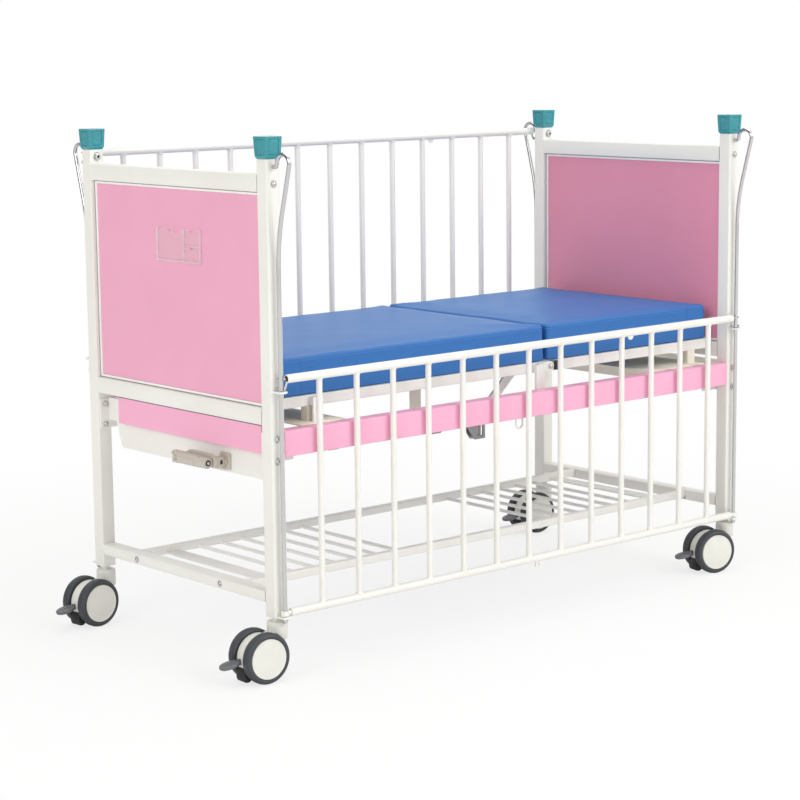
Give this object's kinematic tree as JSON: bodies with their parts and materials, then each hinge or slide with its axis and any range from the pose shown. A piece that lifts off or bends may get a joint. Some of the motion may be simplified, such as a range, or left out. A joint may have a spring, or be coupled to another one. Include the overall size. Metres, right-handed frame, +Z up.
{
  "type": "pediatric hospital cot",
  "caption": "Hospital cot on casters with end panels, sliding bar gates on crooked guide rods, a crank-raised backrest, a divided vinyl mattress and a wire storage shelf",
  "frame": {"origin": "on the floor under the middle of the bounding box", "axes": "+X to the head end, +Y to the rear gate, +Z up"},
  "size_m": [1.7482, 0.8692, 1.2423],
  "materials": {
    "white_paint": "gloss off-white powder coat",
    "pink_paint": "gloss pink powder coat",
    "pink_panel": "satin pink laminate",
    "teal_plastic": "translucent teal",
    "chrome_rod": "bright plated",
    "bare_steel": "plain",
    "cream_paint": "warm white paint",
    "cream_plastic": "cream moulding",
    "wheel_tread": "dark grey tread with cream hub cover",
    "grey_plastic": "grey moulding",
    "blue_vinyl": "blue vinyl over foam",
    "clear_plastic": "clear sheet"
  },
  "bodies": {
    "frame": {"post_foot_front": "white_paint", "guide_rod_foot_front": "chrome_rod", "corner_cap_foot_front": "teal_plastic", "corner_bracket_foot_front": "white_paint", "post_foot_rear": "white_paint", "guide_rod_foot_rear": "chrome_rod", "corner_cap_foot_rear": "teal_plastic", "corner_bracket_foot_rear": "white_paint", "post_head_front": "white_paint", "guide_rod_head_front": "chrome_rod", "corner_cap_head_front": "teal_plastic", "corner_bracket_head_front": "white_paint", "post_head_rear": "white_paint", "guide_rod_head_rear": "chrome_rod", "corner_cap_head_rear": "teal_plastic", "corner_bracket_head_rear": "white_paint", "foot_top_rail": "white_paint", "foot_bottom_rail": "white_paint", "foot_lower_rail": "white_paint", "foot_panel_trim": "white_paint", "foot_panel": "pink_panel", "head_top_rail": "white_paint", "head_bottom_rail": "white_paint", "head_lower_rail": "white_paint", "head_panel_trim": "white_paint", "head_panel": "pink_panel", "card_pocket": "clear_plastic", "side_rail_front": "pink_paint", "side_rail_rear": "pink_paint", "crank_apron": "white_paint", "foot_cross_rail": "pink_paint", "head_cross_rail": "white_paint", "head_support_plate": "cream_paint", "foot_deck": "white_paint", "mattress_foot": "blue_vinyl", "crank_bearing": "bare_steel", "storage_shelf": "white_paint"},
    "front_gate": {"front_gate": "white_paint"},
    "rear_gate": {"rear_gate": "white_paint"},
    "crank": {"crank_arm": "bare_steel"},
    "crank_grip": {"crank_grip": "grey_plastic"},
    "push_tube": {"push_tube": "bare_steel"},
    "backrest": {"backrest_deck": "white_paint"},
    "head_cushion": {"mattress_head": "blue_vinyl"},
    "caster_foot_front": {"caster_housing_foot_front": "cream_plastic"},
    "wheel_foot_front_a": {"caster_wheel_foot_front_a": "wheel_tread"},
    "wheel_foot_front_b": {"caster_wheel_foot_front_b": "wheel_tread"},
    "pedal_foot_front": {"caster_pedal_foot_front": "grey_plastic"},
    "caster_foot_rear": {"caster_housing_foot_rear": "cream_plastic"},
    "wheel_foot_rear_a": {"caster_wheel_foot_rear_a": "wheel_tread"},
    "wheel_foot_rear_b": {"caster_wheel_foot_rear_b": "wheel_tread"},
    "pedal_foot_rear": {"caster_pedal_foot_rear": "grey_plastic"},
    "caster_head_front": {"caster_housing_head_front": "cream_plastic"},
    "wheel_head_front_a": {"caster_wheel_head_front_a": "wheel_tread"},
    "wheel_head_front_b": {"caster_wheel_head_front_b": "wheel_tread"},
    "pedal_head_front": {"caster_pedal_head_front": "grey_plastic"},
    "caster_head_rear": {"caster_housing_head_rear": "cream_plastic"},
    "wheel_head_rear_a": {"caster_wheel_head_rear_a": "wheel_tread"},
    "wheel_head_rear_b": {"caster_wheel_head_rear_b": "wheel_tread"},
    "pedal_head_rear": {"caster_pedal_head_rear": "grey_plastic"}
  },
  "joints": [
    {"name": "front_gate_slide", "type": "slide", "parent": "frame", "child": "front_gate", "axis": [0, 0, 1], "range_m": [0, 0.4835]},
    {"name": "rear_gate_slide", "type": "slide", "parent": "frame", "child": "rear_gate", "axis": [0, 0, 1], "range_m": [-0.4835, 0]},
    {"name": "crank_spin", "type": "hinge", "parent": "frame", "child": "crank", "pos_m": [-0.72788, -0.162, 0.482], "axis": [1, 0, 0], "range_deg": [0, 9182]},
    {"name": "crank_grip_fold", "type": "hinge", "parent": "crank", "child": "crank_grip", "pos_m": [-0.75988, -0.032, 0.482], "axis": [0, 0, -1], "range_deg": [0, 90]},
    {"name": "push_tube_slide", "type": "slide", "parent": "frame", "child": "push_tube", "axis": [1, 0, 0], "range_m": [0, 0.205]},
    {"name": "backrest_hinge", "type": "hinge", "parent": "frame", "child": "backrest", "pos_m": [0.19612, 0, 0.628], "axis": [0, -1, 0], "range_deg": [0, 70]},
    {"name": "head_cushion_slide", "type": "slide", "parent": "backrest", "child": "head_cushion", "axis": [1, 0, 0], "range_m": [0, 0.1225]},
    {"name": "swivel_foot_front", "type": "hinge", "parent": "frame", "child": "caster_foot_front", "pos_m": [-0.71588, -0.353, 0.13], "axis": [0, 0, 1], "continuous": true},
    {"name": "wheel_spin_foot_front_a", "type": "hinge", "parent": "caster_foot_front", "child": "wheel_foot_front_a", "pos_m": [-0.76938, -0.38024, 0.06], "axis": [0.0523, 0.9986, 0], "continuous": true},
    {"name": "wheel_spin_foot_front_b", "type": "hinge", "parent": "caster_foot_front", "child": "wheel_foot_front_b", "pos_m": [-0.76624, -0.32032, 0.06], "axis": [0.0523, 0.9986, 0], "continuous": true},
    {"name": "brake_pedal_foot_front", "type": "hinge", "parent": "caster_foot_front", "child": "pedal_foot_front", "pos_m": [-0.80975, -0.34808, 0.057], "axis": [-0.0523, -0.9986, 0], "range_deg": [0, 12]},
    {"name": "swivel_foot_rear", "type": "hinge", "parent": "frame", "child": "caster_foot_rear", "pos_m": [-0.71588, 0.353, 0.13], "axis": [0, 0, 1], "continuous": true},
    {"name": "wheel_spin_foot_rear_a", "type": "hinge", "parent": "caster_foot_rear", "child": "wheel_foot_rear_a", "pos_m": [-0.76446, 0.31773, 0.06], "axis": [-0.1045, 0.9945, 0], "continuous": true},
    {"name": "wheel_spin_foot_rear_b", "type": "hinge", "parent": "caster_foot_rear", "child": "wheel_foot_rear_b", "pos_m": [-0.77073, 0.3774, 0.06], "axis": [-0.1045, 0.9945, 0], "continuous": true},
    {"name": "brake_pedal_foot_rear", "type": "hinge", "parent": "caster_foot_rear", "child": "pedal_foot_rear", "pos_m": [-0.80936, 0.34317, 0.057], "axis": [0.1045, -0.9945, 0], "range_deg": [0, 12]},
    {"name": "swivel_head_front", "type": "hinge", "parent": "frame", "child": "caster_head_front", "pos_m": [0.84012, -0.353, 0.13], "axis": [0, 0, 1], "continuous": true},
    {"name": "wheel_spin_head_front_a", "type": "hinge", "parent": "caster_head_front", "child": "wheel_head_front_a", "pos_m": [0.78241, -0.36953, 0.06], "axis": [0.2419, 0.9703, 0], "continuous": true},
    {"name": "wheel_spin_head_front_b", "type": "hinge", "parent": "caster_head_front", "child": "wheel_head_front_b", "pos_m": [0.79692, -0.31131, 0.06], "axis": [0.2419, 0.9703, 0], "continuous": true},
    {"name": "brake_pedal_head_front", "type": "hinge", "parent": "caster_head_front", "child": "pedal_head_front", "pos_m": [0.74891, -0.33026, 0.057], "axis": [-0.2419, -0.9703, 0], "range_deg": [0, 12]},
    {"name": "swivel_head_rear", "type": "hinge", "parent": "frame", "child": "caster_head_rear", "pos_m": [0.84012, 0.353, 0.13], "axis": [0, 0, 1], "continuous": true},
    {"name": "wheel_spin_head_rear_a", "type": "hinge", "parent": "caster_head_rear", "child": "wheel_head_rear_a", "pos_m": [0.78662, 0.32576, 0.06], "axis": [0.0523, 0.9986, 0], "continuous": true},
    {"name": "wheel_spin_head_rear_b", "type": "hinge", "parent": "caster_head_rear", "child": "wheel_head_rear_b", "pos_m": [0.78976, 0.38568, 0.06], "axis": [0.0523, 0.9986, 0], "continuous": true},
    {"name": "brake_pedal_head_rear", "type": "hinge", "parent": "caster_head_rear", "child": "pedal_head_rear", "pos_m": [0.74625, 0.35792, 0.057], "axis": [-0.0523, -0.9986, 0], "range_deg": [0, 12]}
  ],
  "couplings": [
    {"joint": "push_tube_slide", "follows": "backrest_hinge", "m_per_rad": 0.16735},
    {"joint": "crank_spin", "follows": "backrest_hinge", "ratio": 131.14},
    {"joint": "head_cushion_slide", "follows": "backrest_hinge", "m_per_rad": 0.1}
  ]
}
